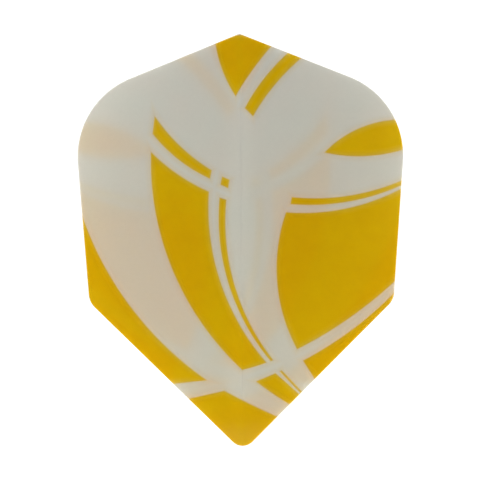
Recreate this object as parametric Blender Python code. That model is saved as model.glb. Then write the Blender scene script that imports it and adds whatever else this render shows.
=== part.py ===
"""Dart flight, folded nearly flat: four creased film leaves bonded face to face into four wings.

The flight stands on its stem end, with its axis along +Z and its origin at the rounded tip.
+X runs across the folded flight and the front faces -Y. Each leaf fills one quadrant: it is
creased along the axis, and its two halves are bonded to the halves of its neighbours. So a
wing is two films with a bond layer between them, and the four wings fold about the axis.
"""

import math

import bmesh
import bpy
from mathutils import Matrix, Vector

MM = 0.001

# Outline of a wing, in its own plane: reach is measured from the axis, height from the tip.
FLIGHT_LENGTH = 45.0 * MM  # tip to the apex where the trailing edges meet
SHOULDER_REACH = 18.21 * MM  # axis to the upper corner, before it is rounded
LEADING_ANGLE = math.radians(45.2)  # leading edge against the axis
SIDE_TAPER = math.radians(4.27)  # side edge against the axis, narrower towards the stem
TRAILING_SLOPE = math.radians(22.1)  # fall of the trailing edge from the apex
TIP_RADIUS = 1.55 * MM
LOWER_CORNER_RADIUS = 2.2 * MM
UPPER_CORNER_RADIUS = 9.2 * MM

# Layers of a wing.
LEAF_THICKNESS = 0.065 * MM  # one film
BOND_THICKNESS = 0.016 * MM  # the adhesive between two films
LAYER_CLEARANCE = 0.002 * MM  # between a film and the bond layer
FACING_GAP = 0.04 * MM  # between two wings that lie flat on each other

# Fold zone and core.
CREASE_HALF_WIDTH = 0.2 * MM  # half the width of the front and back creases
CORE_WEB_HALF = 0.018 * MM  # half the thickness of the bond between the side creases
FOLD_CLEARANCE = 0.04 * MM  # between a crease's corner and a wing that turns past it

# Pose at rest: each wing springs this far open from dead flat.
REST_OPENING = math.radians(3.0)

# Steps along each rounded stretch of the outline.
TIP_STEPS = 8
LOWER_CORNER_STEPS = 8
UPPER_CORNER_STEPS = 22
SMOOTH_ANGLE = math.radians(30.0)  # arcs shade smooth, edges of the film stay sharp

# Heights of the layers above the fold plane of a wing.
INNER_FILM_BASE = FACING_GAP / 2
INNER_FILM_TOP = INNER_FILM_BASE + LEAF_THICKNESS
BOND_BASE = INNER_FILM_TOP + LAYER_CLEARANCE
BOND_TOP = BOND_BASE + BOND_THICKNESS
OUTER_FILM_BASE = BOND_TOP + LAYER_CLEARANCE
OUTER_FILM_TOP = OUTER_FILM_BASE + LEAF_THICKNESS

# The wings start where the creases' corners can't reach them at any opening.
WING_START = math.hypot(CREASE_HALF_WIDTH, OUTER_FILM_TOP) + FOLD_CLEARANCE

SIDES = {"left": -1, "right": 1}
FACES = {"front": -1, "back": 1}


def clear_scene():
    for item in list(bpy.data.objects):
        bpy.data.objects.remove(item, do_unlink=True)


def plain_material(name, colour, roughness):
    made = bpy.data.materials.new(name)
    made.use_nodes = True
    shader = made.node_tree.nodes["Principled BSDF"]
    shader.inputs["Base Color"].default_value = (*colour, 1.0)
    shader.inputs["Roughness"].default_value = roughness
    shader.inputs["Metallic"].default_value = 0.0
    made.diffuse_color = (*colour, 1.0)
    return made


def trailing_height(reach):
    """Height of the trailing edge at a distance from the axis."""
    return FLIGHT_LENGTH - reach * math.tan(TRAILING_SLOPE)


def tip_height(reach):
    """Height of the rounded tip at a distance from the axis."""
    return TIP_RADIUS - math.sqrt(TIP_RADIUS**2 - reach**2)


def sharp_corners():
    """The lower and upper corners of a wing where its straight edges meet, before rounding."""
    upper = Vector((SHOULDER_REACH, trailing_height(SHOULDER_REACH)))
    # The leading edge is tangent to the tip's circle, so its line meets the axis below the tip.
    foot = TIP_RADIUS - TIP_RADIUS / math.sin(LEADING_ANGLE)
    spread = math.tan(LEADING_ANGLE)
    taper = math.tan(SIDE_TAPER)
    height = (upper.x - taper * upper.y + spread * foot) / (spread - taper)
    lower = Vector((spread * (height - foot), height))
    return lower, upper


def rounded_corner(before, corner, after, radius, steps):
    """Points of the arc that touches both edges of a corner."""
    back = (before - corner).normalized()
    ahead = (after - corner).normalized()
    half = back.angle(ahead) / 2
    centre = corner + (back + ahead).normalized() * radius / math.sin(half)
    first = corner + back * radius / math.tan(half) - centre
    sweep = math.pi - 2 * half
    return [
        centre + Matrix.Rotation(sweep * step / steps, 2) @ first for step in range(steps + 1)
    ]


def wing_outline(start):
    """A wing's outline from its tip round to its trailing edge, beginning this far from the axis."""
    lower, upper = sharp_corners()
    tip_centre = Vector((0.0, TIP_RADIUS))
    first = math.asin(start / TIP_RADIUS) - math.pi / 2
    sweep = -LEADING_ANGLE - first
    points = []
    for step in range(TIP_STEPS + 1):
        angle = first + sweep * step / TIP_STEPS
        points.append(tip_centre + TIP_RADIUS * Vector((math.cos(angle), math.sin(angle))))
    leading_end = points[-1]
    trailing_end = Vector((start, trailing_height(start)))
    points += rounded_corner(leading_end, lower, upper, LOWER_CORNER_RADIUS, LOWER_CORNER_STEPS)
    points += rounded_corner(lower, upper, trailing_end, UPPER_CORNER_RADIUS, UPPER_CORNER_STEPS)
    points.append(trailing_end)
    return points


def prism(name, corners, along, material):
    """A closed solid: the face with these corners, swept by the vector along."""
    mesh = bpy.data.meshes.new(name)
    form = bmesh.new()
    base = form.faces.new([form.verts.new(corner) for corner in corners])
    swept = bmesh.ops.extrude_face_region(form, geom=[base], use_keep_orig=True)
    moved = [item for item in swept["geom"] if isinstance(item, bmesh.types.BMVert)]
    bmesh.ops.translate(form, verts=moved, vec=along)
    bmesh.ops.recalc_face_normals(form, faces=form.faces)
    form.to_mesh(mesh)
    form.free()
    mesh.shade_smooth()
    mesh.set_sharp_from_angle(angle=SMOOTH_ANGLE)
    mesh.materials.append(material)
    made = bpy.data.objects.new(name, mesh)
    bpy.context.scene.collection.objects.link(made)
    return made


def wing_hinge(name, side, face):
    """The empty on the fold axis that a wing turns about, opened a little towards its own face."""
    hinge = bpy.data.objects.new(name, None)
    bpy.context.scene.collection.objects.link(hinge)
    hinge.empty_display_size = FLIGHT_LENGTH / 10
    hinge.rotation_euler.z = side * face * REST_OPENING
    return hinge


def wing_layer(name, hinge, side, face, base, top, material):
    """One layer of a wing, between two heights above the fold plane."""
    corners = [Vector((side * p.x, face * base, p.y)) for p in wing_outline(WING_START)]
    layer = prism(name, corners, Vector((0.0, face * (top - base), 0.0)), material)
    layer.parent = hinge


def build_wing(face_name, side_name, film, adhesive):
    side = SIDES[side_name]
    face = FACES[face_name]
    hinge = wing_hinge(f"{face_name}_{side_name}_hinge", side, face)
    layers = (
        (f"{side_name}_leaf_{face_name}_half", INNER_FILM_BASE, INNER_FILM_TOP, film),
        (f"{face_name}_{side_name}_bond_layer", BOND_BASE, BOND_TOP, adhesive),
        (f"{face_name}_leaf_{side_name}_half", OUTER_FILM_BASE, OUTER_FILM_TOP, film),
    )
    for name, base, top, material in layers:
        wing_layer(name, hinge, side, face, base, top, material)


def build_face_crease(face_name, film):
    """The strip that joins the two halves of the front or the back leaf across the axis."""
    face = FACES[face_name]
    edge = CREASE_HALF_WIDTH
    profile = [
        (-edge, tip_height(edge)),
        (0.0, 0.0),
        (edge, tip_height(edge)),
        (edge, trailing_height(edge)),
        (0.0, FLIGHT_LENGTH),
        (-edge, trailing_height(edge)),
    ]
    corners = [Vector((x, face * OUTER_FILM_BASE, z)) for x, z in profile]
    prism(f"{face_name}_leaf_crease", corners, Vector((0.0, face * LEAF_THICKNESS, 0.0)), film)


def build_side_crease(side_name, film):
    """The strip that joins the two halves of a side leaf, which lies closed on itself."""
    side = SIDES[side_name]
    inner = CORE_WEB_HALF + LAYER_CLEARANCE
    outer = inner + LEAF_THICKNESS
    bottom = tip_height(outer)
    top = trailing_height(outer)
    profile = [
        (-INNER_FILM_TOP, bottom),
        (INNER_FILM_TOP, bottom),
        (INNER_FILM_TOP, top),
        (-INNER_FILM_TOP, top),
    ]
    corners = [Vector((side * inner, y, z)) for y, z in profile]
    prism(f"{side_name}_leaf_crease", corners, Vector((side * LEAF_THICKNESS, 0.0, 0.0)), film)


def build_core(adhesive):
    """The bond where the four creases meet: an I section that runs the whole length."""
    flange = CREASE_HALF_WIDTH
    web = CORE_WEB_HALF
    section = [
        (-flange, -BOND_TOP),
        (flange, -BOND_TOP),
        (flange, -BOND_BASE),
        (web, -BOND_BASE),
        (web, BOND_BASE),
        (flange, BOND_BASE),
        (flange, BOND_TOP),
        (-flange, BOND_TOP),
        (-flange, BOND_BASE),
        (-web, BOND_BASE),
        (-web, -BOND_BASE),
        (-flange, -BOND_BASE),
    ]
    bottom = tip_height(flange)
    corners = [Vector((x, y, bottom)) for x, y in section]
    prism("bond_core", corners, Vector((0.0, 0.0, trailing_height(flange) - bottom)), adhesive)


def main():
    clear_scene()
    film = plain_material("printed_film", (0.80, 0.74, 0.52), 0.28)
    adhesive = plain_material("clear_adhesive", (0.86, 0.85, 0.80), 0.45)
    for face_name in FACES:
        for side_name in SIDES:
            build_wing(face_name, side_name, film, adhesive)
        build_face_crease(face_name, film)
    for side_name in SIDES:
        build_side_crease(side_name, film)
    build_core(adhesive)


main()
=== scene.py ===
import math

import bpy
import numpy as np
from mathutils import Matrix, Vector


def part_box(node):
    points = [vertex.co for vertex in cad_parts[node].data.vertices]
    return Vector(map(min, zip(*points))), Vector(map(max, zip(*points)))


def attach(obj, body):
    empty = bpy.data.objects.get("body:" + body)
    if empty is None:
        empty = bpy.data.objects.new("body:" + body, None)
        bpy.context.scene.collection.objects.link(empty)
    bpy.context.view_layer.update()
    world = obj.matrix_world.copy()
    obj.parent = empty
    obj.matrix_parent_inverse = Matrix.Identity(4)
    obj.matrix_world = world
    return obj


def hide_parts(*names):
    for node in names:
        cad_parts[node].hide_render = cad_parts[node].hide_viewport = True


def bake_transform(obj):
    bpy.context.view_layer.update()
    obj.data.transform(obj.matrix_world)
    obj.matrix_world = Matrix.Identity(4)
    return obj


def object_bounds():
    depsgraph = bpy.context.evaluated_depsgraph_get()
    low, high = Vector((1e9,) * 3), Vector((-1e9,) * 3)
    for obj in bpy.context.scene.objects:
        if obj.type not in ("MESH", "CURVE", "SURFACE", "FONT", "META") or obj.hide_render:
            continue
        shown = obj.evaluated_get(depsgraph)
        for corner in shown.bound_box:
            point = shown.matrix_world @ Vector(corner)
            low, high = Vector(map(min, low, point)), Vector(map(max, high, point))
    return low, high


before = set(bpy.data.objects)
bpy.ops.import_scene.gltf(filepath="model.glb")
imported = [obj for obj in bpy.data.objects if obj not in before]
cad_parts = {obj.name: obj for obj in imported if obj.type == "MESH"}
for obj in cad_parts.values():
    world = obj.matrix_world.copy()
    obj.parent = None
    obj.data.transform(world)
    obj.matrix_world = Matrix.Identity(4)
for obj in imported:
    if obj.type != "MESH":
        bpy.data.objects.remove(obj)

# Looks for a folding dart flight: four creased, printed film leaves, bonded face to face into four
# wings. Every wing is made from its layers, each a closed thin sheet, bowed a little by its own spring
# and bending into the fold. +Z runs up the fold from the rounded tip, and the front leaf faces -Y.

mm = 0.001  # metres in a millimetre
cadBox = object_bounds()
flightLength = cadBox[1].z - cadBox[0].z
print("frame loaded, flight", round(flightLength / mm, 2), "mm long")

# The outline of a wing, in mm and degrees: reach is measured from the fold, height from the tip.
outline = {
    "shoulderReach": 18.21,  # fold to the upper corner, before it is rounded
    "leadingAngle": 45.2,  # leading edge against the fold
    "sideTaper": 4.27,  # side edge against the fold
    "trailingSlope": 22.1,  # fall of the trailing edge from the apex
    "tipRadius": 1.55,
    "lowerCornerRadius": 2.2,
    "upperCornerRadius": 9.2,
    "tipRows": 10,
    "leadingRows": 46,
    "lowerCornerRows": 12,
    "sideRows": 30,
    "upperCornerRows": 34,
    "trailingRows": 34,
}

# The layers of a wing as heights above its fold plane, in mm, and how they leave the fold.
layers = {
    "innerFilm": (0.020, 0.085),
    "bond": (0.087, 0.103),
    "outerFilm": (0.105, 0.170),
    "sideFoldCentre": 0.105,  # the side leaves turn a quarter round this distance from the axis
    "bondStart": 0.07,  # the bond between two films starts this far from the axis
    "bondInset": 0.04,  # and stops this far inside the cut edge
    "foldWidth": 0.60,  # the film bends over this distance from the axis
    "restOpening": 3.0,  # degrees each wing springs open
    "columns": 52,
    "bondColumns": 30,
    "foldCrowding": 0.05,  # share of even spacing left beside the fold, less packs columns there
    "crowdingPower": 1.4,  # and how fast the columns spread out from it
    "cutBulge": 0.012,  # how far the cut edge swells at mid thickness
    "bulgeReach": 2.0,  # on a wing at least this wide, and less near the tip and the apex
    "grooveDepth": 0.007,  # the crease line pressed into a leaf
    "grooveWidth": 0.09,
    "sharpAngle": 32.0,  # degrees, edges that turn further stay sharp
}

# How each wing's own spring bows it away from its partner: height in mm at the side edge, the
# height of a slow ripple along it, and where along the fold the ripple starts.
wings = {
    "front_left": {"side": -1, "face": -1, "bow": 0.20, "ripple": 0.030, "phase": 0.3},
    "front_right": {"side": 1, "face": -1, "bow": 0.24, "ripple": 0.036, "phase": 1.7},
    "back_left": {"side": -1, "face": 1, "bow": 0.26, "ripple": 0.032, "phase": 2.6},
    "back_right": {"side": 1, "face": 1, "bow": 0.18, "ripple": 0.028, "phase": 4.1},
}
bowShape = {
    "endShare": 0.55,  # how much of the bow is left at the tip and the apex
    "waves": 1.3,  # ripples from tip to apex
    "slant": 2.2,  # how far a ripple leans as it runs out to the edge, radians
}


def arc(centre, radius, first, last, steps):
    # points of a circle between two angles: centre plus radius times cosine and sine
    angles = np.linspace(first, last, steps + 1)
    return np.stack([centre[0] + radius * np.cos(angles), centre[1] + radius * np.sin(angles)], axis=1)


def roundedCorner(before, corner, after, radius, steps):
    # the circle that touches both edges of a corner: its centre is on the bisector, radius over the
    # sine of the half angle away, and it runs between the feet of the radii on the two edges
    back = (before - corner) / np.linalg.norm(before - corner)
    ahead = (after - corner) / np.linalg.norm(after - corner)
    half = math.acos(float(back @ ahead)) / 2
    bisector = (back + ahead) / np.linalg.norm(back + ahead)
    centre = corner + bisector * radius / math.sin(half)
    foot = corner + back * radius / math.tan(half) - centre
    first = math.atan2(foot[1], foot[0])
    return arc(centre, radius, first, first + math.pi - 2 * half, steps)


def straight(start, end, steps):
    # evenly spaced points strictly between two corners
    share = np.linspace(0, 1, steps + 2)[1:-1, None]
    return start + (end - start) * share


def wingOutline():
    # the wing's edge from the tip to the apex as rows of (reach, height) in mm: a circle at the tip,
    # straight leading edge, round corner, straight side, round shoulder, straight trailing edge
    o = outline
    length = flightLength / mm
    leading = math.radians(o["leadingAngle"])
    spread = math.tan(leading)
    taper = math.tan(math.radians(o["sideTaper"]))
    slope = math.tan(math.radians(o["trailingSlope"]))
    upper = np.array([o["shoulderReach"], length - o["shoulderReach"] * slope])
    footHeight = o["tipRadius"] - o["tipRadius"] / math.sin(leading)
    height = (upper[0] - taper * upper[1] + spread * footHeight) / (spread - taper)
    lower = np.array([spread * (height - footHeight), height])
    tip = arc((0.0, o["tipRadius"]), o["tipRadius"], -math.pi / 2, -leading, o["tipRows"])
    apex = np.array([0.0, length])
    low = roundedCorner(tip[-1], lower, upper, o["lowerCornerRadius"], o["lowerCornerRows"])
    high = roundedCorner(lower, upper, apex, o["upperCornerRadius"], o["upperCornerRows"])
    parts = [
        tip,
        straight(tip[-1], low[0], o["leadingRows"]),
        low,
        straight(low[-1], high[0], o["sideRows"]),
        high,
        straight(high[-1], apex, o["trailingRows"]),
        apex[None, :],
    ]
    return np.concatenate(parts)


edgeRows = wingOutline()
fullReach = edgeRows[:, 0].max()
print("outline has", len(edgeRows), "rows and reaches", round(float(fullReach), 2), "mm")


def columnShares(count):
    # shares of the reach from 0 at the fold to 1 at the edge, packed towards the fold: the share r
    # becomes r times (crowding plus the rest times r to the crowding power)
    r = np.linspace(0, 1, count)
    crowding = layers["foldCrowding"]
    return r * (crowding + (1 - crowding) * r ** layers["crowdingPower"])


def foldWeight(reach):
    # 0 on the fold, 1 beyond the fold's width, a smooth step between
    t = np.clip(reach / layers["foldWidth"], 0, 1)
    return t * t * (3 - 2 * t)


def bowOf(wing, reach, height):
    # how far a wing stands off its fold plane: a raised cosine of the reach, fuller at mid height,
    # plus a slow ripple that also fades to nothing at the fold, so a wing never bows inwards
    out = np.clip(reach / fullReach, 0, 1)
    along = height / (flightLength / mm)
    rise = (1 - np.cos(np.pi * out)) / 2
    ends = bowShape["endShare"]
    sweep = wing["bow"] * rise * (ends + (1 - ends) * np.sin(np.pi * along))
    turn = 2 * np.pi * bowShape["waves"] * along + bowShape["slant"] * out + wing["phase"]
    return sweep + wing["ripple"] * rise * (1 + np.sin(turn))


def placeLayer(wing, reach, height, lift, turnsAtSide):
    # a point of a layer from its reach, height and lift above the fold plane. A side leaf's layer
    # first turns a quarter circle out of the plane between the wings. Then the wing's bow lifts it,
    # and it turns about the axis by the rest opening times the fold weight.
    centre = layers["sideFoldCentre"]
    if turnsAtSide:
        quarter = np.clip(reach / centre, 0, 1) * np.pi / 2
        x = np.where(reach < centre, centre - lift * np.cos(quarter), reach)
        b = np.where(reach < centre, lift * np.sin(quarter), lift)
    else:
        groove = layers["grooveDepth"] * np.exp(-((reach / layers["grooveWidth"]) ** 2))
        x = reach
        b = lift - groove
    b = b + bowOf(wing, reach, height)
    angle = math.radians(layers["restOpening"]) * foldWeight(reach)
    side, face = wing["side"], wing["face"]
    across = side * (x * np.cos(angle) - b * np.sin(angle))
    away = face * (x * np.sin(angle) + b * np.cos(angle))
    return np.stack([across, away, height], axis=-1) * mm


def addObject(name, data):
    made = bpy.data.objects.new(name, data)
    bpy.context.scene.collection.objects.link(made)
    return made


def meshFromLoops(name, loops, poles, regions, flat, leafPlace):
    # a closed body from a profile carried along rows. loops is (rows, points, 3). In the first and
    # last row the profile closes to a short segment: poles says which of its two ends each point
    # joins. regions gives each stretch of the profile its material, flat its place on the flat bake
    # sheet at both of its ends, and leafPlace the point's place on the unfolded leaf in mm.
    rows, points = loops.shape[:2]
    index = np.arange(rows * points).reshape(rows, points)
    for row in (0, rows - 1):
        index[row] = np.where(poles == 0, index[row, 0], index[row, -1])
    after = np.roll(index, -1, axis=1)
    quads = np.stack([index[:-1], after[:-1], after[1:], index[1:]], axis=-1).reshape(-1, 4)
    corners = np.stack([flat[:-1, :, 0], flat[:-1, :, 1], flat[1:, :, 1], flat[1:, :, 0]], axis=2)
    corners = corners.reshape(-1, 4, 2)
    material = np.tile(regions, rows - 1)
    below = quads[:, 0] == quads[:, 1]
    above = quads[:, 2] == quads[:, 3]
    whole = ~(below | above)
    used = np.unique(quads[~(below & above)])
    lookup = np.zeros(rows * points, int)
    lookup[used] = np.arange(len(used))
    spots = loops.reshape(-1, 3)[used]
    lowTris = below & ~above
    highTris = above & ~below
    kept = ((whole, [0, 1, 2, 3]), (lowTris, [0, 2, 3]), (highTris, [0, 1, 2]))
    faces = [lookup[quads[chosen][:, order]] for chosen, order in kept]
    sheets = [corners[chosen][:, order] for chosen, order in kept]
    kinds = np.concatenate([material[whole], material[lowTris], material[highTris]])
    volume = sum(
        np.einsum("ij,ij->", spots[f[:, 0]], np.cross(spots[f[:, k]], spots[f[:, k + 1]]))
        for f in faces
        for k in range(1, f.shape[1] - 1)
    )
    if volume < 0:  # a mirrored wing comes out inside out, so its faces are turned round
        faces = [f[:, ::-1] for f in faces]
        sheets = [s[:, ::-1] for s in sheets]
    mesh = bpy.data.meshes.new(name)
    mesh.from_pydata(spots.tolist(), [], [face for f in faces for face in f.tolist()])
    mesh.polygons.foreach_set("material_index", kinds.astype(np.int32))
    bakeMap = mesh.uv_layers.new(name="OFBake")
    bakeMap.data.foreach_set("uv", np.concatenate([s.reshape(-1, 2) for s in sheets]).ravel())
    place = mesh.attributes.new("leafPlace", "FLOAT_VECTOR", "POINT")
    place.data.foreach_set("vector", leafPlace.reshape(-1, 3)[used].astype(np.float32).ravel())
    mesh.shade_smooth()
    mesh.set_sharp_from_angle(angle=math.radians(layers["sharpAngle"]))
    mesh.update()
    return addObject(name, mesh)


# the flat sheet that a layer is laid out on for baking, as shares of its width
bakeSheet = {
    "fill": 1.04,  # the sheet is this much longer than the flight
    "foot": 0.015,  # height of the tip
    "printedFold": 0.01,  # where the printed face's fold lies, its reach running to the right
    "bondedFold": 0.86,  # where the bonded face's fold lies, its reach running to the left
    "strips": (0.90, 0.925, 0.96),  # the two halves of the cut edge, and the face in the fold
    "stripWidth": 0.02,
}


def layerSheet(name, wing, low, high, leafSign, columns, outward=False, turnsAtSide=False, room=(0.0, 0.0)):
    # one layer of a wing. Its profile runs out over its printed face, round the cut edge and back
    # over its bonded face, both from the start to the reach of the outline at that height, less the
    # inset, which are the layer's room. The printed face is on the far side where it looks outward,
    # and reach times the leaf's sign is the place across that leaf, seen from its own printed side.
    start, inset = room
    reachRows = edgeRows[:, 0] - inset - start
    keep = np.flatnonzero(reachRows > 0)
    keep = np.arange(max(keep[0] - 1, 0), min(keep[-1] + 2, len(edgeRows)))
    span = np.clip(reachRows[keep], 0, None)
    span[0] = span[-1] = 0
    height = edgeRows[keep, 1][:, None]
    shares = columnShares(columns)
    reach = start + span[:, None] * shares[None, :]
    printed, bonded = (high, low) if outward else (low, high)
    bulge = layers["cutBulge"] * np.clip(span / layers["bulgeReach"], 0, 1)
    rim = start + span + bulge
    heights = np.repeat(height, columns, axis=1)
    faceOut = placeLayer(wing, reach, heights, np.full_like(reach, printed), turnsAtSide)
    faceIn = placeLayer(wing, reach[:, ::-1], heights, np.full_like(reach, bonded), turnsAtSide)
    middle = np.full((len(keep), 1), (low + high) / 2)
    faceRim = placeLayer(wing, rim[:, None], height, middle, turnsAtSide)
    loops = np.concatenate([faceOut, faceRim, faceIn], axis=1)
    poles = np.array([0] * (columns + 1) + [1] * columns)
    regions = np.array([0] * (columns - 1) + [1] * (columns + 2))
    # places on the bake sheet: reach and height over the sheet's own size, from each face's fold
    scale = flightLength / mm * bakeSheet["fill"]
    line = height[:, 0] / scale + bakeSheet["foot"]
    tall = np.repeat(line[:, None], columns, axis=1)
    across = reach / scale
    uvOut = np.stack([bakeSheet["printedFold"] + across, tall], axis=-1)
    uvIn = np.stack([bakeSheet["bondedFold"] - across[:, ::-1], tall], axis=-1)
    flat = np.zeros((len(keep), 2 * columns + 1, 2, 2))
    flat[:, : columns - 1, 0] = uvOut[:, :-1]
    flat[:, : columns - 1, 1] = uvOut[:, 1:]
    flat[:, columns + 1 : 2 * columns, 0] = uvIn[:, :-1]
    flat[:, columns + 1 : 2 * columns, 1] = uvIn[:, 1:]
    for stretch, left in zip((columns - 1, columns, 2 * columns), bakeSheet["strips"]):
        for end, place in enumerate((left, left + bakeSheet["stripWidth"])):
            flat[:, stretch, end] = np.stack([np.full_like(line, place), line], axis=-1)
    allReach = np.concatenate([reach, rim[:, None], reach[:, ::-1]], axis=1)
    allHeight = np.repeat(height, allReach.shape[1], axis=1)
    leafPlace = np.stack([leafSign * allReach, allHeight, np.zeros_like(allReach)], axis=-1)
    return meshFromLoops(name, loops, poles, regions, flat, leafPlace)


# One leaf's print, in mm across from its crease and up from its tip. A shape is a list of corners in
# clockwise order. The edge that leaves a corner is straight, or the arc through a third point.
printShapes = {
    "topWedge": [((-0.48, 38.15), (-1.87, 40.9)), ((-2.75, 44.8), None), ((4.8, 44.95), (1.4, 41.0))],
    "topStrip": [
        ((0.52, 36.87), (2.67, 40.12)),
        ((6.2, 43.6), None),
        ((7.9, 43.15), (4.0, 39.55)),
        ((1.42, 35.95), None),
    ],
    "arcStrip": [
        ((-9.6, 34.12), None),
        ((-9.33, 36.05), (-6.5, 32.7)),
        ((-3.15, 30.1), None),
        ((-3.36, 29.18), (-6.55, 31.1)),
    ],
    "crossing": [
        ((-2.24, 28.54), None),
        ((-2.02, 29.42), None),
        ((-1.2, 29.05), None),
        ((-1.38, 28.12), None),
    ],
    "leftBand": [
        ((0.0, 8.28), (-7.5, 19.2)),
        ((-9.78, 32.15), (-6.85, 29.69)),
        ((-3.47, 27.77), (-2.97, 20.45)),
        ((2.7, 9.07), (1.4, 8.64)),
    ],
    "leftLine": [
        ((3.15, 9.22), (-1.62, 18.4)),
        ((-2.33, 27.12), None),
        ((-1.57, 26.88), (-0.95, 18.3)),
        ((3.42, 9.35), None),
    ],
    "rightBlade": [((9.17, 31.93), (12.6, 34.37)), ((17.9, 35.45), None), ((18.2, 32.3), (13.6, 31.48))],
    "rightLine": [
        ((5.42, 26.35), None),
        ((5.58, 27.12), (12.0, 27.25)),
        ((17.9, 28.97), None),
        ((17.9, 28.45), (12.0, 26.6)),
    ],
    "rightPanel": [
        ((6.03, 10.5), (3.85, 19.0)),
        ((4.94, 25.47), (11.2, 25.77)),
        ((17.9, 28.15), None),
        ((18.5, 19.6), (12.0, 14.05)),
    ],
    "lowerRight": [
        ((6.65, 9.28), (12.1, 12.68)),
        ((17.6, 17.62), None),
        ((18.5, 12.0), None),
        ((9.0, 5.55), None),
    ],
    "lowerPatch": [((1.5, 7.03), None), ((3.66, 7.92), None), ((6.6, 5.3), None), ((5.5, 4.3), (3.3, 5.7))],
    "lowerLine": [((4.1, 8.12), None), ((4.33, 8.22), None), ((6.9, 5.5), None), ((6.6, 5.5), None)],
    "lowerLeft": [
        ((-17.6, 26.2), (-11.7, 14.75)),
        ((-3.85, 7.2), None),
        ((-9.0, 6.72), None),
        ((-19.0, 10.0), None),
    ],
    "tipPatch": [
        ((-8.0, 4.75), None),
        ((-1.98, 6.05), (1.0, 4.5)),
        ((4.9, 2.72), None),
        ((3.0, -1.0), None),
        ((-8.0, -1.0), None),
    ],
}

film = {
    "white": (0.700, 0.690, 0.590),  # milky polyester film, near the tip
    "coolLitWhite": (0.695, 0.698, 0.655),  # and near the apex: the same film with a painted cooler light from above
    "ink": (0.755, 0.505, 0.0),  # golden yellow print
    "cloudScale": 0.22,  # broad clouds in the film's tone, and the two tints they run between
    "cloudTints": ((0.985, 1.01, 1.01), (1.015, 0.99, 0.985)),
    "coolLightHeights": (4.0, 40.0),  # mm up the leaf, where the painted cooler light starts and stops
    "fleckScale": 2.4,  # fine flecks in the milk of the film
    "fleckTones": (0.975, 1.02),
    "patchScale": 0.5,  # slow patches of thinner and denser ink
    "patchTints": ((1.03, 1.05, 1.0), (0.975, 0.95, 1.0)),
    "grainScale": 9.0,  # the grain of a screen print
    "grainTones": (0.97, 1.03),
    "throughTint": (1.07, 0.985, 0.945),  # what a partner's ink does to white film over it
    "inkThroughTint": (1.0, 0.97, 0.95),  # and to ink over it
    "glowTint": (1.0, 0.99, 0.98),  # what a print's own edge sheds into the milky film beside it
    "glowReach": (-1.6, 0.3),  # and how far, in mm of depth
    "hiddenLines": ("crossing", "leftLine", "rightLine", "lowerLine"),  # too fine to show through
    "printSoftness": 0.045,  # half width of the print's edge, mm
    "throughSoftness": (0.55, 2.2),  # half widths of an edge seen through the film, mm, near and far
    "throughShare": 0.35,  # how much of it keeps the nearer width
    "edgeWander": 0.03,  # how far the print's edge wanders, mm
    "wanderScale": 3.0,
    "creaseReach": (0.04, 0.34),  # mm from the fold, where the whitening of the crease fades
    "creaseTone": 0.045,
    "foldReach": (0.1, 2.4),  # and the paler film beside it
    "foldTone": 0.06,
    "specular": 0.02,
    "roughness": 0.36,
    "coat": 1.0,
    "coatRoughness": 0.12,
    "coatIor": 1.35,
    "scratches": ((24.0, 0.03, 5.0), (-63.0, 0.035, 4.0)),  # turn in degrees, squeeze and scale
    "scratchRange": (0.64, 0.72),  # the part of the noise that is a scratch
    "hazeScale": 0.9,
    "hazeRoughness": (-0.05, 0.06),
    "scratchRoughness": 0.12,
    "creaseRoughness": 0.15,
    "inkRoughness": -0.05,
    "peelScale": 1.6,  # orange peel
    "peelHeight": 0.0035,  # heights of the relief, mm
    "grainHeight": 0.0006,
    "inkHeight": 0.003,
    "scratchHeight": -0.001,
    "reliefStrength": 0.8,
    "translucency": 0.50,
    "whitePass": (0.95, 0.94, 0.91),  # the colour of light that passes through bare film
    "inkPass": (0.95, 0.64, 0.03),  # and through print
    "passSoftness": 0.80,  # half width of a print's edge in that light, mm
}

edgeFilm = {
    "colour": (0.62, 0.60, 0.53),
    "lineScale": 6.0,  # fine lines across the cut
    "lineTones": (0.93, 1.05),
    "lineRoughness": (0.42, 0.6),
    "specular": 0.3,
    "clearness": 0.90,  # share of the light that goes on through
    "passes": (0.99, 0.99, 0.97),
}

bond = {
    "colour": (0.66, 0.63, 0.55),
    "bubbleTone": 1.12,  # how much paler a bubble is
    "bubbleScale": 2.5,
    "bubbleRange": (0.05, 0.3),  # the part of the cells between a bubble's middle and its rim
    "bubbleRoughness": (0.35, 0.55),
    "specular": 0.4,
    "clearness": 0.94,
    "passes": (0.99, 0.99, 0.98),
}

# the parts of a noise that its light and dark ends stand for
broadRange = (0.3, 0.7)
fineRange = (0.25, 0.75)


def addNode(tree, kind, **settings):
    made = tree.nodes.new(kind)
    for key, value in settings.items():
        setattr(made, key, value)
    return made


def feed(tree, socket, value):
    # joins an output to an input, or sets the input's own value. A colour is solid.
    if isinstance(value, bpy.types.NodeSocket):
        tree.links.new(value, socket)
    elif socket.type == "RGBA":
        socket.default_value = (*value, 1.0)
    else:
        socket.default_value = value


def maths(tree, operation, *values):
    made = addNode(tree, "ShaderNodeMath", operation=operation)
    for socket, value in zip(made.inputs, values):
        feed(tree, socket, value)
    return made.outputs["Value"]


def vectorMaths(tree, operation, first, second, result="Vector"):
    made = addNode(tree, "ShaderNodeVectorMath", operation=operation)
    feed(tree, made.inputs[0], first)
    feed(tree, made.inputs[1], second)
    return made.outputs[result]


def ramp(tree, value, fromLow, fromHigh, toLow=0.0, toHigh=1.0, curve="LINEAR"):
    made = addNode(tree, "ShaderNodeMapRange", interpolation_type=curve, clamp=True)
    feed(tree, made.inputs["Value"], value)
    for key, number in (("From Min", fromLow), ("From Max", fromHigh), ("To Min", toLow), ("To Max", toHigh)):
        made.inputs[key].default_value = number
    return made.outputs["Result"]


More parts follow.
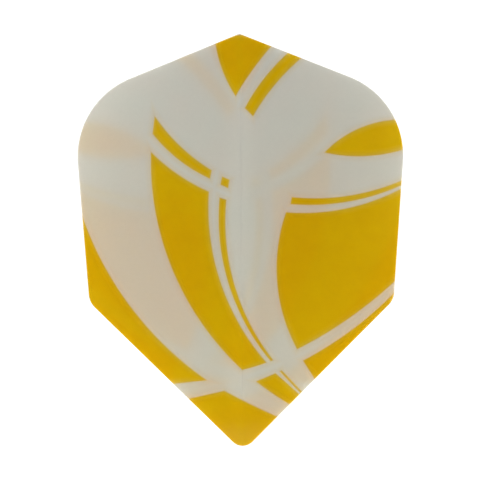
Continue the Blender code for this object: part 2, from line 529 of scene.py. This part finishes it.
def mixColour(tree, share, first, second, kind="MIX"):
    made = addNode(tree, "ShaderNodeMix", data_type="RGBA", blend_type=kind)
    feed(tree, made.inputs["Factor"], share)
    colours = [s for s in made.inputs if s.type == "RGBA"]
    for socket, colour in zip(colours, (first, second)):
        feed(tree, socket, colour)
    return next(s for s in made.outputs if s.type == "RGBA")


def tinted(colour, factors):
    return tuple(c * f for c, f in zip(colour, factors))


def noise(tree, place, scale, detail=2.0, roughness=0.5, stretch=None):
    # noise in mm on the flat leaf, stretched along one way where a turn and a squeeze are given
    if stretch:
        mapping = addNode(tree, "ShaderNodeMapping")
        feed(tree, mapping.inputs["Vector"], place)
        mapping.inputs["Rotation"].default_value = (0.0, 0.0, math.radians(stretch[0]))
        mapping.inputs["Scale"].default_value = (1.0, stretch[1], 1.0)
        place = mapping.outputs["Vector"]
    made = addNode(tree, "ShaderNodeTexNoise")
    feed(tree, made.inputs["Vector"], place)
    made.inputs["Scale"].default_value = scale
    made.inputs["Detail"].default_value = detail
    made.inputs["Roughness"].default_value = roughness
    return made.outputs["Fac"], made.outputs["Color"]


def circleThrough(a, m, b):
    # the centre and radius of the circle through three points
    (ax, az), (mx, mz), (bx, bz) = a, m, b
    area = 2 * (ax * (mz - bz) + mx * (bz - az) + bx * (az - mz))
    aSquare, mSquare, bSquare = (x * x + z * z for x, z in (a, m, b))
    cx = (aSquare * (mz - bz) + mSquare * (bz - az) + bSquare * (az - mz)) / area
    cz = (aSquare * (bx - mx) + mSquare * (ax - bx) + bSquare * (mx - ax)) / area
    return cx, cz, math.hypot(ax - cx, az - cz)


def edgeField(tree, place, a, through, b):
    # distance inside one edge of a shape, in mm: a straight edge's is along its right-hand normal,
    # a curved one's is the radius less the distance from its centre, or the other way round
    dx, dz = b[0] - a[0], b[1] - a[1]
    length = math.hypot(dx, dz)
    if through is None:
        normal = (dz / length, -dx / length, 0.0)
        along = vectorMaths(tree, "DOT_PRODUCT", place, normal, "Value")
        return maths(tree, "SUBTRACT", along, a[0] * normal[0] + a[1] * normal[1])
    cx, cz, radius = circleThrough(a, through, b)
    facing = 1.0 if (cx - a[0]) * dz - (cz - a[1]) * dx > 0 else -1.0
    away = vectorMaths(tree, "DISTANCE", place, (cx, cz, 0.0), "Value")
    return maths(tree, "MULTIPLY_ADD", away, -facing, facing * radius)


def makePrintField(name, leftOut=()):
    # the depth inside the nearest printed shape, in mm: the least of the edges within a shape, and
    # the greatest of the shapes, except those left out
    tree = bpy.data.node_groups.new(name, "ShaderNodeTree")
    tree.interface.new_socket(name="Place", in_out="INPUT", socket_type="NodeSocketVector")
    tree.interface.new_socket(name="Depth", in_out="OUTPUT", socket_type="NodeSocketFloat")
    place = addNode(tree, "NodeGroupInput").outputs["Place"]
    whole = None
    for shapeName, shape in printShapes.items():
        if shapeName in leftOut:
            continue
        inside = None
        for step, (corner, through) in enumerate(shape):
            following = shape[(step + 1) % len(shape)][0]
            depth = edgeField(tree, place, corner, through, following)
            inside = depth if inside is None else maths(tree, "MINIMUM", inside, depth)
        whole = inside if whole is None else maths(tree, "MAXIMUM", whole, inside)
    ends = addNode(tree, "NodeGroupOutput")
    tree.links.new(whole, ends.inputs["Depth"])
    return tree


def newMaterial(name):
    made = bpy.data.materials.new(name)
    made.use_nodes = True
    tree = made.node_tree
    tree.nodes.clear()
    shader = addNode(tree, "ShaderNodeBsdfPrincipled")
    output = addNode(tree, "ShaderNodeOutputMaterial")
    tree.links.new(shader.outputs["BSDF"], output.inputs["Surface"])
    return made, shader


def leafPlaceOf(tree):
    source = addNode(tree, "ShaderNodeAttribute", attribute_type="GEOMETRY", attribute_name="leafPlace")
    return source.outputs["Vector"]


def passLight(tree, shader, share, colour):
    # a share of the light goes on through the surface, coloured, and the shader answers for the rest
    passed = addNode(tree, "ShaderNodeBsdfTranslucent")
    feed(tree, passed.inputs["Color"], colour)
    both = addNode(tree, "ShaderNodeMixShader")
    both.inputs["Fac"].default_value = share
    tree.links.new(shader.outputs["BSDF"], both.inputs[1])
    tree.links.new(passed.outputs["BSDF"], both.inputs[2])
    tree.links.new(both.outputs["Shader"], tree.get_output_node("ALL").inputs["Surface"])


def makePrintedFilm():
    made, shader = newMaterial("printedFilm")
    tree = made.node_tree
    place = leafPlaceOf(tree)
    printField = makePrintField("leafPrint")
    partnerField = makePrintField("partnerPrint", film["hiddenLines"])

    # the print's edge wanders a little, as ink does on film
    wander = noise(tree, place, film["wanderScale"], 3.0)[1]
    centred = vectorMaths(tree, "SUBTRACT", wander, (0.5, 0.5, 0.5))
    drift = vectorMaths(tree, "MULTIPLY", centred, (film["edgeWander"], film["edgeWander"], 0.0))
    inkPlace = vectorMaths(tree, "ADD", place, drift)
    own = addNode(tree, "ShaderNodeGroup", node_tree=printField)
    tree.links.new(inkPlace, own.inputs["Place"])
    soft = film["printSoftness"]
    ink = ramp(tree, own.outputs["Depth"], -soft, soft)

    # the leaf bonded behind carries the same print, so it shows through mirrored, paler and softer
    mirrored = vectorMaths(tree, "MULTIPLY", place, (-1.0, 1.0, 1.0))
    partner = addNode(tree, "ShaderNodeGroup", node_tree=partnerField)
    tree.links.new(mirrored, partner.inputs["Place"])
    seen = partner.outputs["Depth"]
    near, far = (ramp(tree, seen, -blur, blur, curve="SMOOTHSTEP") for blur in film["throughSoftness"])
    share = film["throughShare"]
    through = maths(tree, "MULTIPLY_ADD", near, share, maths(tree, "MULTIPLY", far, 1 - share))

    # the film's own tone: broad clouds of slightly warmer and cooler white, and fine flecks, with a painted
    # cooler light towards the apex
    cloud = ramp(tree, noise(tree, place, film["cloudScale"])[0], *broadRange)
    tint = mixColour(tree, cloud, *film["cloudTints"])
    spot = addNode(tree, "ShaderNodeSeparateXYZ")
    tree.links.new(place, spot.inputs["Vector"])
    # painted light: the white turns cooler towards the apex, as under a cooler light from above
    rise = ramp(tree, spot.outputs["Y"], *film["coolLightHeights"])
    white = mixColour(tree, 1.0, mixColour(tree, rise, film["white"], film["coolLitWhite"]), tint, "MULTIPLY")
    fleck = ramp(tree, noise(tree, place, film["fleckScale"], 3.0)[0], *fineRange, *film["fleckTones"])
    white = mixColour(tree, through, white, mixColour(tree, 1.0, white, film["throughTint"], "MULTIPLY"))
    glow = ramp(tree, own.outputs["Depth"], *film["glowReach"], curve="SMOOTHSTEP")
    white = mixColour(tree, glow, white, mixColour(tree, 1.0, white, film["glowTint"], "MULTIPLY"))

    # ink density: slow patches, and the fine grain of a screen print
    density = ramp(tree, noise(tree, place, film["patchScale"], 3.0, 0.6)[0], *broadRange)
    gold = mixColour(tree, density, *(tinted(film["ink"], factors) for factors in film["patchTints"]))
    gold = mixColour(tree, through, gold, mixColour(tree, 1.0, gold, film["inkThroughTint"], "MULTIPLY"))
    grain = noise(tree, place, film["grainScale"])[0]
    speckle = ramp(tree, grain, *fineRange, *film["grainTones"])

    colour = mixColour(tree, ink, white, gold)
    tone = maths(tree, "MULTIPLY", fleck, speckle)

    # the crease: a line pressed into the leaf, whitened where the film was bent, and paler beside it
    apart = maths(tree, "ABSOLUTE", spot.outputs["X"])
    crease = ramp(tree, apart, *film["creaseReach"], 1.0, 0.0, "SMOOTHSTEP")
    beside = ramp(tree, apart, *film["foldReach"], 1.0, 0.0, "SMOOTHSTEP")
    for mask, gain in ((crease, film["creaseTone"]), (beside, film["foldTone"])):
        tone = maths(tree, "MULTIPLY", tone, maths(tree, "MULTIPLY_ADD", mask, gain, 1.0))
    toned = vectorMaths(tree, "SCALE", colour, (0.0, 0.0, 0.0))
    tree.links.new(tone, toned.node.inputs["Scale"])
    tree.links.new(toned, shader.inputs["Base Color"])

    # handling marks: two families of hair scratches, and a patchy haze
    hairs = []
    for turn, squeeze, scale in film["scratches"]:
        streak = noise(tree, place, scale, 1.0, stretch=(turn, squeeze))[0]
        hairs.append(ramp(tree, streak, *film["scratchRange"]))
    scratches = maths(tree, "MAXIMUM", *hairs)
    haze = ramp(tree, noise(tree, place, film["hazeScale"], 3.0)[0], *broadRange, *film["hazeRoughness"])
    rough = maths(tree, "MULTIPLY_ADD", scratches, film["scratchRoughness"], film["roughness"])
    rough = maths(tree, "ADD", rough, haze)
    rough = maths(tree, "MULTIPLY_ADD", crease, film["creaseRoughness"], rough)
    rough = maths(tree, "MULTIPLY_ADD", ink, film["inkRoughness"], rough)
    tree.links.new(rough, shader.inputs["Roughness"])

    # relief in mm: the ink stands a few microns proud, the film has orange peel and scratches
    peel = noise(tree, place, film["peelScale"])[0]
    relief = maths(tree, "MULTIPLY", peel, film["peelHeight"])
    for mask, height in ((grain, "grainHeight"), (ink, "inkHeight"), (scratches, "scratchHeight")):
        relief = maths(tree, "MULTIPLY_ADD", mask, film[height], relief)
    bump = addNode(tree, "ShaderNodeBump")
    bump.inputs["Strength"].default_value = film["reliefStrength"]
    bump.inputs["Distance"].default_value = mm
    tree.links.new(relief, bump.inputs["Height"])
    tree.links.new(bump.outputs["Normal"], shader.inputs["Normal"])
    tree.links.new(bump.outputs["Normal"], shader.inputs["Coat Normal"])
    shader.inputs["Specular IOR Level"].default_value = film["specular"]
    shader.inputs["Coat Weight"].default_value = film["coat"]
    shader.inputs["Coat Roughness"].default_value = film["coatRoughness"]
    shader.inputs["Coat IOR"].default_value = film["coatIor"]

    # light that passes through the film takes the print's colour, with a softer edge
    spread = film["passSoftness"]
    shaded = ramp(tree, own.outputs["Depth"], -spread, spread, curve="SMOOTHSTEP")
    passColour = mixColour(tree, shaded, film["whitePass"], film["inkPass"])
    passLight(tree, shader, film["translucency"], passColour)
    return made


def makeEdgeFilm():
    # the die-cut edge and bonded face: bare film with fine lines across its thickness
    made, shader = newMaterial("cutFilmEdge")
    tree = made.node_tree
    lines = noise(tree, leafPlaceOf(tree), edgeFilm["lineScale"], 3.0, 0.6)[0]
    tones = (tinted(edgeFilm["colour"], [factor] * 3) for factor in edgeFilm["lineTones"])
    tree.links.new(mixColour(tree, ramp(tree, lines, *broadRange), *tones), shader.inputs["Base Color"])
    rough = ramp(tree, lines, *broadRange, *edgeFilm["lineRoughness"])
    tree.links.new(rough, shader.inputs["Roughness"])
    shader.inputs["Specular IOR Level"].default_value = edgeFilm["specular"]
    passLight(tree, shader, edgeFilm["clearness"], edgeFilm["passes"])
    return made


def makeBondMaterial():
    # clear adhesive with small trapped bubbles, seen only at a wing's edge and in its core
    made, shader = newMaterial("clearBond")
    tree = made.node_tree
    cells = addNode(tree, "ShaderNodeTexVoronoi")
    tree.links.new(leafPlaceOf(tree), cells.inputs["Vector"])
    cells.inputs["Scale"].default_value = bond["bubbleScale"]
    bubble = ramp(tree, cells.outputs["Distance"], *bond["bubbleRange"])
    pale = tinted(bond["colour"], [bond["bubbleTone"]] * 3)
    tree.links.new(mixColour(tree, bubble, pale, bond["colour"]), shader.inputs["Base Color"])
    rough = ramp(tree, cells.outputs["Distance"], *bond["bubbleRange"], *bond["bubbleRoughness"])
    tree.links.new(rough, shader.inputs["Roughness"])
    shader.inputs["Specular IOR Level"].default_value = bond["specular"]
    passLight(tree, shader, bond["clearness"], bond["passes"])
    return made


printedFilm = makePrintedFilm()
cutFilmEdge = makeEdgeFilm()
clearBond = makeBondMaterial()
print("materials made")


def finishLayer(piece, wing, wingName, materials, slotName, *nodes):
    # gives a layer its printed face's material and its other faces', bakes its transform into its mesh and
    # hides the frame's parts it stands for
    for material in materials:
        piece.data.materials.append(material)
    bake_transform(piece)
    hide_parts(*nodes)


def buildWing(wingName, wing):
    # an outer film that belongs to the front or back leaf, a bond, and an inner film that belongs to
    # a side leaf. Seen from its printed side, a leaf's print runs the same way on every leaf.
    faceName, sideName = wingName.split("_")
    side, face = wing["side"], wing["face"]
    columns = layers["columns"]
    filmLooks = (printedFilm, cutFilmEdge)
    name = f"{faceName}_leaf_{sideName}_film"
    outer = layerSheet(name, wing, *layers["outerFilm"], -side * face, columns, outward=True)
    outerNodes = f"{faceName}_leaf_{sideName}_half", f"{faceName}_leaf_crease"
    finishLayer(outer, wing, wingName, filmLooks, "printed_film", *outerNodes)
    name = f"{sideName}_leaf_{faceName}_film"
    inner = layerSheet(name, wing, *layers["innerFilm"], side * face, columns, turnsAtSide=True)
    innerNodes = f"{sideName}_leaf_{faceName}_half", f"{sideName}_leaf_crease"
    finishLayer(inner, wing, wingName, filmLooks, "printed_film", *innerNodes)
    name = f"{wingName}_bond_film"
    columns, room = layers["bondColumns"], (layers["bondStart"], layers["bondInset"])
    middle = layerSheet(name, wing, *layers["bond"], -side * face, columns, outward=True, room=room)
    finishLayer(middle, wing, wingName, (clearBond, clearBond), "clear_adhesive", f"{wingName}_bond_layer")


for wingName, wing in wings.items():
    buildWing(wingName, wing)
print("wings built")


core = {
    "halfHeight": 0.103,  # mm from the axis to the front or back of the bead
    "widest": 0.06,  # the most that half its width may be
    "clearance": 0.002,
    "steps": 40,  # across its section
    "rows": 90,  # along the fold
}


def buildCore():
    # the bead where the four creases meet. Its section fills the space between the two side folds:
    # half its width is the folds' distance less their circle, with a small clearance, up to a limit.
    outerRadius = layers["innerFilm"][1]
    centre = layers["sideFoldCentre"]
    lift = np.linspace(-core["halfHeight"], core["halfHeight"], core["steps"] + 1)
    circle = np.sqrt(np.clip(outerRadius**2 - lift**2, 0, None))
    half = np.minimum(core["widest"], centre - circle - core["clearance"])
    x = np.concatenate([half, -half[::-1]])
    y = np.concatenate([lift, lift[::-1]])
    low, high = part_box("bond_core")
    z = np.linspace(low.z / mm, high.z / mm, core["rows"])
    loops = np.stack(np.broadcast_arrays(x[None], y[None], z[:, None]), axis=-1)
    rows, points = loops.shape[:2]
    index = np.arange(rows * points).reshape(rows, points)
    after = np.roll(index, -1, axis=1)
    quads = np.stack([index[:-1], after[:-1], after[1:], index[1:]], axis=-1).reshape(-1, 4)
    # each end is closed by strips between the two halves of the section
    strips = np.arange(core["steps"])
    bottom = np.stack([strips, points - 1 - strips, points - 2 - strips, strips + 1], axis=-1)
    top = bottom[:, ::-1] + (rows - 1) * points
    mesh = bpy.data.meshes.new("bond_core_bead")
    mesh.from_pydata((loops.reshape(-1, 3) * mm).tolist(), [], np.concatenate([quads, bottom, top]).tolist())
    place = mesh.attributes.new("leafPlace", "FLOAT_VECTOR", "POINT")
    flatPlace = loops[..., [0, 2, 1]].reshape(-1, 3)
    place.data.foreach_set("vector", flatPlace.astype(np.float32).ravel())
    mesh.shade_smooth()
    mesh.set_sharp_from_angle(angle=math.radians(layers["sharpAngle"]))
    mesh.materials.append(clearBond)
    made = addObject("bond_core_bead", mesh)
    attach(made, "spine")
    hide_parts("bond_core")


buildCore()
print("core built")


studio = {
    "skyColour": (1.0, 0.995, 0.985),  # one pale room, which each of the next lines sees in its own way
    "sky": 0.56,  # what lights the film
    "backdrop": 1.15,  # what the camera sees
    "glossCard": 0.03,  # what the gloss sees in front: a dark card behind the camera
    "glossRoom": 1.0,  # and all round it
    "cardEdge": (0.60, 0.92),  # cosines, off the front, between which the card ends
    "boxColour": (1.0, 0.975, 0.93),
    "floorColour": (0.5, 0.5, 0.495),
    "floorRoughness": 0.9,
    "floorGlow": 0.84,  # keeps the pale floor as pale as the room behind it
    "floorGap": 0.02,  # mm under the tip
    "floorSides": (-2.0, 2.0),  # m
    "floorDepth": (-0.03, 3.0),  # m, from in front of the flight to far behind it
}

# soft boxes: place and aim in mm, size in mm, strength in watts
softBoxes = {
    "overhead": {"place": (-60, -80, 420), "aim": (0, 0, 20), "size": (320, 320), "power": 0.45},
    "front": {"place": (0, -260, 260), "aim": (0, 0, 22), "size": (160, 160), "power": 0.265},
    "leftLow": {"place": (-45, -20, 8), "aim": (0, 0, 12), "size": (24, 24), "power": 0.0015},
    "leftHigh": {"place": (-45, -20, 50), "aim": (0, 0, 30), "size": (24, 24), "power": 0.0080},
    "rightLow": {"place": (45, -20, 8), "aim": (0, 0, 12), "size": (24, 24), "power": 0.0010},
    "rightHigh": {"place": (45, -20, 50), "aim": (0, 0, 30), "size": (24, 24), "power": 0.0015},
    "rightFar": {"place": (110, -20, 8), "aim": (0, 0, 15), "size": (40, 40), "power": 0.072},
    "rearStrip": {"place": (120, 300, 220), "aim": (0, 0, 25), "size": (200, 120), "power": 0.10},
}

camera = {
    "lens": 200.0,
    "sensor": 36.0,
    "frameHeight": 52.43,  # mm of the flight's plane from the top of the frame to the bottom
    "target": (-0.117, 22.474),  # mm across and up
    "roll": 0.45,  # degrees that the flight leans
    "clip": (0.005, 20.0),  # m
}


def makeWorld():
    world = bpy.data.worlds.new("paleStudio")
    bpy.context.scene.world = world
    world.use_nodes = True
    tree = world.node_tree
    tree.nodes.clear()
    path = addNode(tree, "ShaderNodeLightPath")
    way = addNode(tree, "ShaderNodeTexCoord").outputs["Generated"]
    ahead = vectorMaths(tree, "DOT_PRODUCT", way, (0.0, -1.0, 0.0), "Value")
    gloss = ramp(tree, ahead, *studio["cardEdge"], studio["glossRoom"], studio["glossCard"], "SMOOTHSTEP")
    extra = maths(tree, "SUBTRACT", gloss, studio["sky"])
    strength = maths(tree, "MULTIPLY_ADD", path.outputs["Is Glossy Ray"], extra, studio["sky"])
    shown = studio["backdrop"] - studio["sky"]
    strength = maths(tree, "MULTIPLY_ADD", path.outputs["Is Camera Ray"], shown, strength)
    sky = addNode(tree, "ShaderNodeBackground")
    sky.inputs["Color"].default_value = (*studio["skyColour"], 1.0)
    tree.links.new(strength, sky.inputs["Strength"])
    output = addNode(tree, "ShaderNodeOutputWorld")
    tree.links.new(sky.outputs["Background"], output.inputs["Surface"])


def makeFloor():
    (left, right), (front, back) = studio["floorSides"], studio["floorDepth"]
    height = cadBox[0].z - studio["floorGap"] * mm
    corners = [(left, front, height), (right, front, height), (right, back, height), (left, back, height)]
    mesh = bpy.data.meshes.new("floor")
    mesh.from_pydata(corners, [], [(0, 1, 2, 3)])
    made, shader = newMaterial("paleFloor")
    shader.inputs["Base Color"].default_value = (*studio["floorColour"], 1.0)
    shader.inputs["Roughness"].default_value = studio["floorRoughness"]
    shader.inputs["Specular IOR Level"].default_value = 0.0
    shader.inputs["Emission Color"].default_value = (1.0, 1.0, 1.0, 1.0)
    shader.inputs["Emission Strength"].default_value = studio["floorGlow"]
    mesh.materials.append(made)
    addObject("floor", mesh)


def makeLights():
    for name, box in softBoxes.items():
        data = bpy.data.lights.new(name, "AREA")
        data.shape = "RECTANGLE"
        data.size, data.size_y = (side * mm for side in box["size"])
        data.energy = box["power"]
        data.color = studio["boxColour"]
        light = addObject(name, data)
        light.location = Vector(box["place"]) * mm
        facing = Vector(box["aim"]) - Vector(box["place"])
        light.rotation_euler = facing.to_track_quat("-Z", "Y").to_euler()
        light.visible_camera = False


def makeCamera():
    data = bpy.data.cameras.new("camera")
    data.lens = camera["lens"]
    data.sensor_width = camera["sensor"]
    data.clip_start, data.clip_end = camera["clip"]
    away = camera["frameHeight"] * camera["lens"] / camera["sensor"] * mm
    x, z = (v * mm for v in camera["target"])
    made = addObject("camera", data)
    made.location = (x, -away, z)
    made.rotation_euler = (math.pi / 2, math.radians(camera["roll"]), 0.0)
    bpy.context.scene.camera = made


makeWorld()
makeFloor()
makeLights()
makeCamera()
bpy.context.scene.view_settings.view_transform = "Standard"
print("studio set")
